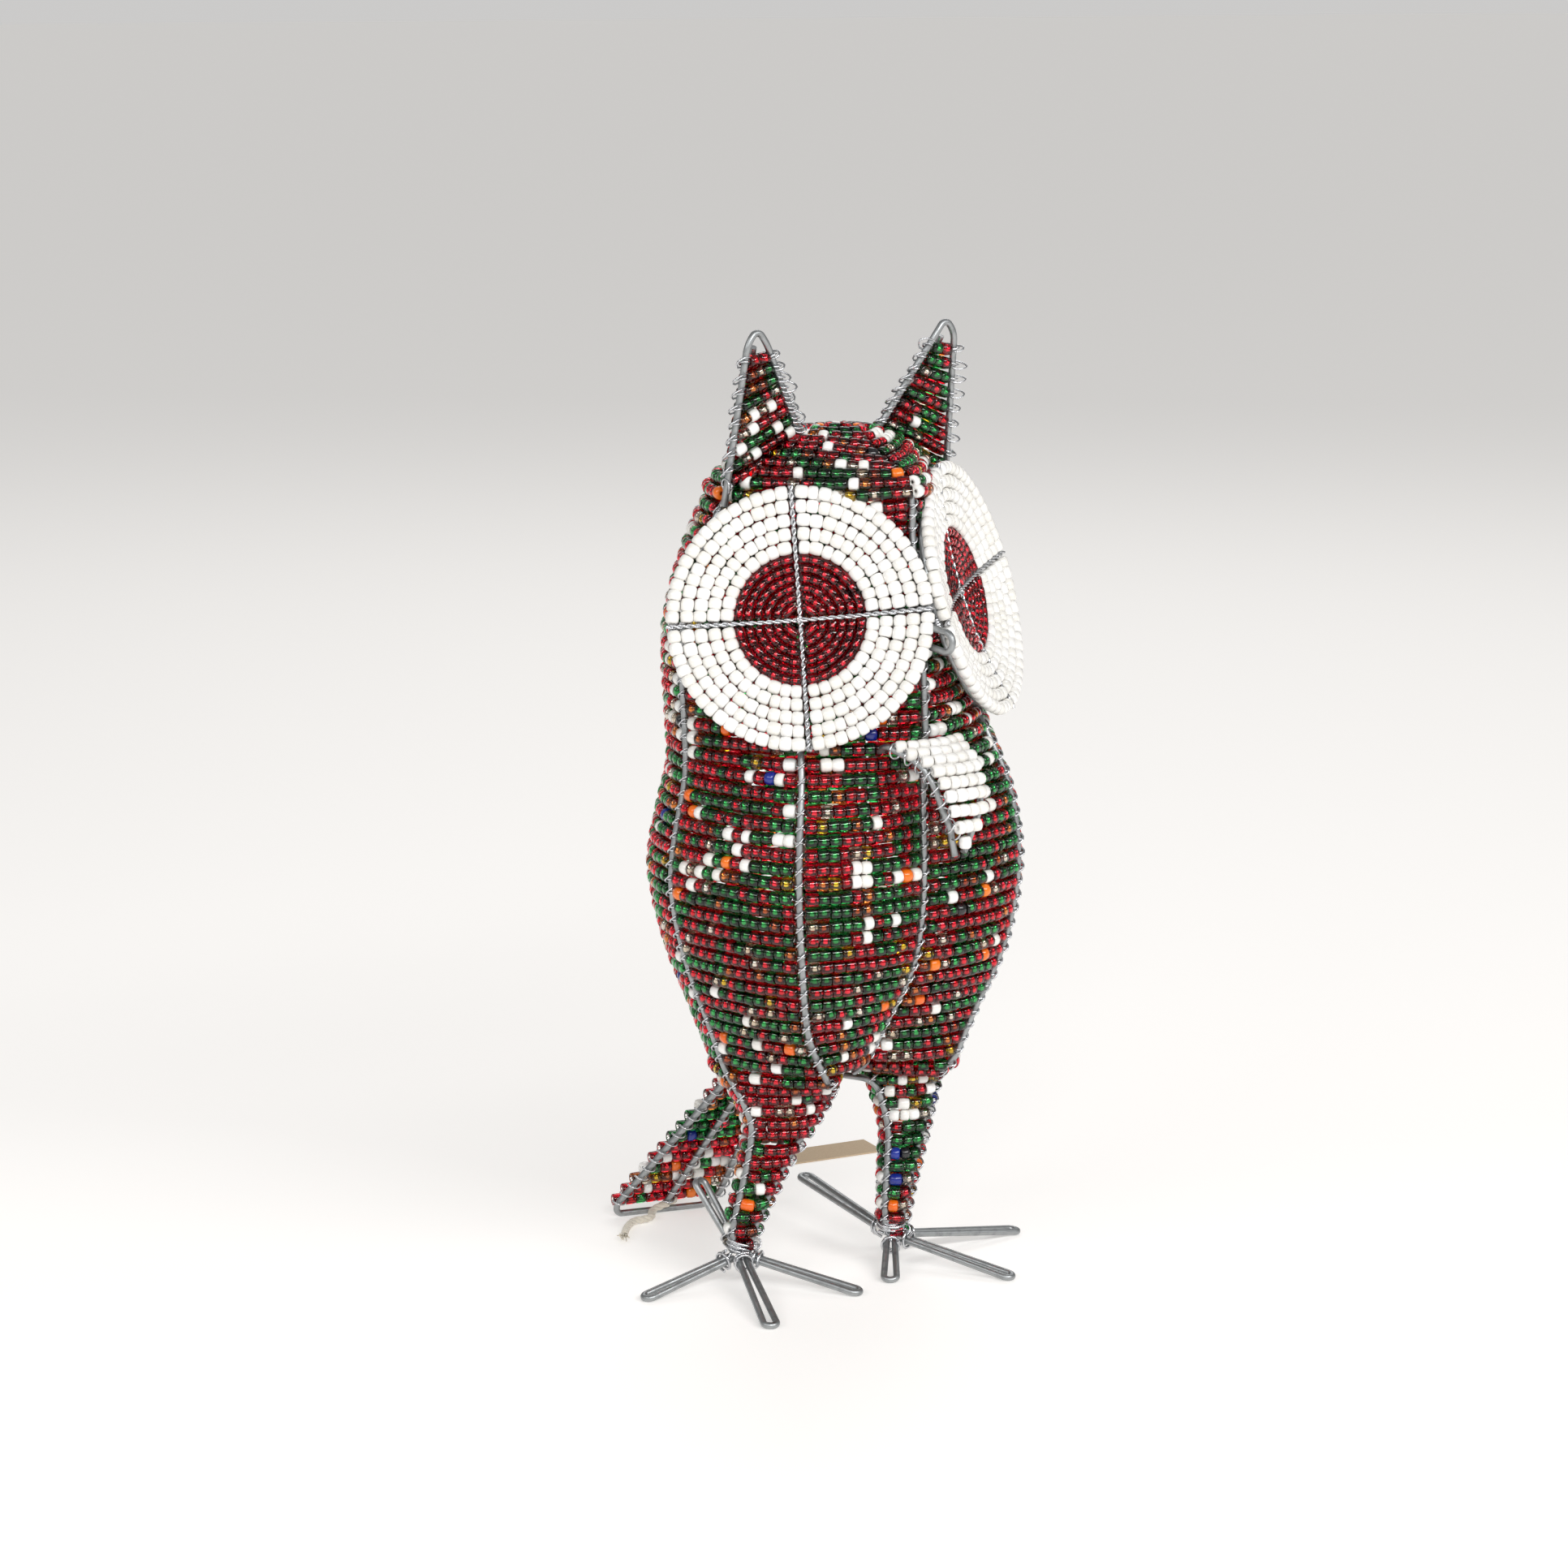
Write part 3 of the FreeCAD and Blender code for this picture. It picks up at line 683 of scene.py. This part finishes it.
# ---- beak and crown -----------------------------------------------------------------------------
beak_lines = [strand_line(corners) for corners in solids_of("beak_strands")]
beak_beads = []
for line in beak_lines:
    beak_beads += [place for _, place in string_beads(line, {"white": 1}, BEAK_BEAD_RADIUS,
                                                   BEAK_BEAD_LENGTH)]
bead_piece("beak_beads", SOLID_BEAD, beak_beads, "white", ["beak_strands"])
beak_lines.sort(key=lambda line: -line[0][2])
edge = []
for start, middle, end in beak_lines:
    right, left = sorted((start, end), key=lambda p: p[0])
    edge.append(right + np.array((-1.6, 1.2, 0.0)) * MM)
wire_piece("beak_binding", [coil(edge, *BEAK_COIL)], BINDING_WIRE, BINDING_ZINC)

crown_beads = {}
for corners in solids_of("crown_strands"):
    hub = (corners.min(axis=0) + corners.max(axis=0)) / 2
    radius = (corners.max(axis=0)[0] - corners.min(axis=0)[0]) / 2 - STRAND_RADIUS
    count = round(2 * math.pi * radius / BEAD_LENGTH)
    last = None
    for k in range(count):
        turn = 2 * math.pi * k / count
        out = np.array([math.cos(turn), math.sin(turn), 0.0])
        along = np.array([-math.sin(turn), math.cos(turn), draw.uniform(-0.1, 0.1)])
        last = pick_colour(PALE_MIXED, last)
        place = (hub + out * radius, unit(along), (BEAD_RADIUS, math.pi * radius / count),
                 draw.random())
        crown_beads.setdefault(last, []).append(place)
for colour, places in crown_beads.items():
    pattern = LINED_BEAD if colour in LINED else SOLID_BEAD
    bead_piece("crown_" + colour + "_beads", pattern, places, colour, ["crown_strands"])

# ---- tail ---------------------------------------------------------------------------------------
tail_lines = beaded("tail", ["tail_strands"], PALE_MIXED)
tail_lines.sort(key=lambda line: -line[0][2])
top_middle = (tail_lines[0][0] + tail_lines[0][2]) / 2
end_middle = (tail_lines[-1][0] + tail_lines[-1][2]) / 2
outward = unit(np.cross(tail_lines[-1][2] - tail_lines[-1][0], end_middle - top_middle))
outward *= np.sign(outward[2])
sides = [[], [], []]
for start, middle, end in tail_lines:
    right, left = sorted((start, end), key=lambda p: p[0])
    for side_line, place in zip(sides, (right, (right + left) / 2, left)):
        side_line.append(place - outward * TAIL_ROWS_ABOVE)
tail_turns = [coil(side_line, *TAIL_COIL) for side_line in sides]
wire_piece("tail_binding", tail_turns, BINDING_WIRE, BINDING_ZINC)

# The turns that tie the top of its middle wire to the back rib.
tail_wire = solids_of("tail_centre_wire")[0]
join_top = tail_wire[tail_wire[:, 2] > tail_wire[:, 2].max() - 1 * MM].mean(axis=0)
join_end = join_top + np.array((0.0, -2.5, -6.5)) * MM
inward = unit(np.array((0.0, -0.93, 0.36))) * 1.4 * MM
wire_piece("tail_root_binding", [coil([join_top + inward, join_end + inward], *TAIL_ROOT_COIL)],
           BINDING_WIRE, BINDING_ZINC)

# ---- ankles -------------------------------------------------------------------------------------
for side in ("right", "left"):
    low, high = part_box(side + "_foot_lashing")
    middle = np.array((low + high) / 2)
    turns = []
    for k in range(3):
        lean = np.array([draw.uniform(-0.3, 0.3), draw.uniform(-0.3, 0.3), 1.0])
        ends = [middle - unit(lean) * ANKLE_HALF_HEIGHT, middle + unit(lean) * ANKLE_HALF_HEIGHT]
        turns.append(coil(ends, ANKLE_RADIUS + k * ANKLE_STEP, ANKLE_PITCH, draw.uniform(0, 6)))
    for corners in solids_of(side + "_foot_toes"):
        away = np.linalg.norm(corners - middle, axis=1)
        root = corners[away < away.min() + 4 * MM].mean(axis=0)
        tip = corners[away > away.max() - 2 * MM].mean(axis=0)
        along = unit(tip - root)
        held = [root + along * 1.5 * MM, root + along * 4.0 * MM]
        turns.append(coil(held, *TOE_COIL, draw.uniform(0, 6)))
        turns.append([middle, (middle + held[0]) / 2 + np.array((0, 0, 1.6)) * MM, held[0]])
    wire_piece(side + "_ankle_binding", turns, ANKLE_WIRE, BINDING_ZINC,
               [side + "_foot_lashing"])

# ---- twine and tag ------------------------------------------------------------------------------
KNOT_IN_PLAN = np.array((-15.6, 68.2, 3.6)) * MM
knot_low, knot_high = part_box("twine_knot")
KNOT = np.array((knot_low + knot_high) / 2)
TWINE_TO_TAG = [(-13.6, 70.6, 2.4), (-6, 82, 1.2), (10, 92, 1.2), (24, 96, 1.2), (36, 93, 1.2),
                (44.5, 93, 1.6)]
TWINE_END = [(-17.8, 66.6, 3.2), (-23, 69, 1.4), (-27, 60.5, 1.4), (-35, 63, 1.4), (-43, 52, 1.4)]


def route_line(name, route):
    """Points along the smooth line that the twine follows, and its length."""
    curve = bpy.data.curves.new(name, "CURVE")
    curve.dimensions = "3D"
    curve.resolution_u = 12
    spline = curve.splines.new("NURBS")
    spline.points.add(len(route) - 1)
    for point, place in zip(spline.points, route):
        point.co = (*place, 1)
    spline.order_u = 3
    spline.use_endpoint_u = True
    carrier = bpy.data.objects.new(name, curve)
    bpy.context.collection.objects.link(carrier)
    bpy.context.view_layer.update()
    mesh = bpy.data.meshes.new_from_object(carrier)
    line = [np.array(v.co) for v in mesh.vertices]
    bpy.data.objects.remove(carrier)
    bpy.data.meshes.remove(mesh)
    return line, sum(np.linalg.norm(b - a) for a, b in zip(line, line[1:]))


def twine(name, route, node):
    """Three plies twisted together along the route."""
    placed = [np.array(p) * MM - KNOT_IN_PLAN + KNOT for p in route]
    line, length = route_line(name + "_route", placed)
    plies = [coil(line, PLY_OFFSET, TWINE_LAY, k * 2 * math.pi / PLIES, PLY_STEPS)
            for k in range(PLIES)]
    piece = wire_piece(name, plies, PLY_RADIUS, COTTON, [node], 2)
    return line


knot_route = []
for k in range(25):
    t = 2 * math.pi * k / 24
    knot_route.append(KNOT + np.array((math.sin(t) + 2 * math.sin(2 * t),
                                       math.cos(t) - 2 * math.cos(2 * t),
                                       -math.sin(3 * t))) * KNOT_SIZE)
knot = wire_piece("twine_knot_loops", [knot_route], KNOT_PLY, COTTON,
                  ["twine_knot"], 2)
end_line, _ = route_line("fray_route", [np.array(p) * MM - KNOT_IN_PLAN + KNOT for p in TWINE_END])
onward = unit(end_line[-1] - end_line[-4])
fibres = []
for k in range(FIBRES):
    spread_out = np.array((draw.uniform(-1, 1), draw.uniform(-1, 1), draw.uniform(-0.25, 0.6)))
    start = end_line[-1] - onward * 1.5 * MM + spread_out * 0.5 * MM
    start[2] = max(start[2], 0.5 * MM)
    middle = start + onward * 2.8 * MM + spread_out * 0.6 * MM
    end = middle + onward * draw.uniform(0.8, 2.6) * MM + spread_out * 1.2 * MM
    middle[2] = max(middle[2], 0.4 * MM)
    end[2] = max(end[2], 0.3 * MM)
    fibres.append([start, middle, end])
fray = wire_piece("twine_fray", fibres, FIBRE_RADIUS, COTTON)
twine("twine_free_end", TWINE_END, "twine_end")
twine("twine_to_tag", TWINE_TO_TAG, "tag_twine")

# ---- finishes of the frame wires ----------------------------------------------------------------
for name, node in nodes.items():
    if node.hide_render:
        continue
    node.data.materials.clear()
    node.data.materials.append(KRAFT if name == "paper_tag" else FRAME_ZINC)

# ---- studio -------------------------------------------------------------------------------------
AWAY = Vector((math.sin(math.radians(VIEW_FROM)), math.cos(math.radians(VIEW_FROM)), 0))
axis_low, axis_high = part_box("crown_ring")
body_axis = (axis_low + axis_high) / 2
camera = bpy.data.objects.new("camera", bpy.data.cameras.new("camera"))
bpy.context.collection.objects.link(camera)
bpy.context.scene.camera = camera
camera.data.lens = CAMERA_LENS
camera.data.sensor_width = CAMERA_FILM
camera.location = Vector((body_axis.x, body_axis.y, CAMERA_HEIGHT)) - AWAY * CAMERA_AWAY
camera.rotation_euler = (math.radians(90 - CAMERA_DOWN), 0, math.radians(-CAMERA_TURN))
camera.data.clip_start = 0.05

deselect()
bpy.ops.mesh.primitive_plane_add(size=FLOOR_SIZE, location=(0, 0, 0))
floor = bpy.context.object
floor.name = "floor"
floor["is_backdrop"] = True
floor_look = material("pale_floor", (0.82, 0.8, 0.78), 0.6, Emission_Color=(1, 0.99, 0.97, 1),
                      Emission_Strength=0.35)[0]
floor.data.materials.append(floor_look)

world = bpy.data.worlds.new("studio")
bpy.context.scene.world = world
world.use_nodes = True
sky = world.node_tree
background = sky.nodes["Background"]
background.inputs["Color"].default_value = (1.0, 0.99, 0.98, 1)
sight = sky.nodes.new("ShaderNodeLightPath")
strength = sky.nodes.new("ShaderNodeMapRange")
strength.inputs["To Min"].default_value = SKY_LIGHT
strength.inputs["To Max"].default_value = SKY_SEEN
sky.links.new(sight.outputs["Is Camera Ray"], strength.inputs["Value"])
sky.links.new(strength.outputs["Result"], background.inputs["Strength"])
bpy.context.scene.view_settings.view_transform = "Standard"


def soft_light(name, place, width, height, power):
    """A rectangular soft box, level, facing the owl."""
    light = bpy.data.lights.new(name, "AREA")
    light.shape = "RECTANGLE"
    light.size = width
    light.size_y = height
    light.energy = power
    made = bpy.data.objects.new(name, light)
    bpy.context.collection.objects.link(made)
    made.location = place
    towards = OWL_MIDDLE - Vector(place)
    made.rotation_euler = towards.to_track_quat("-Z", "Y").to_euler()


soft_light("key", (-0.1, -1.35, 1.05), 2.2, 0.2, 23)
soft_light("side", (-1.3, -0.2, 0.9), 1.2, 0.3, 5)
soft_light("back", (0.9, 1.1, 1.3), 1.2, 0.6, 6)

low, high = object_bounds()
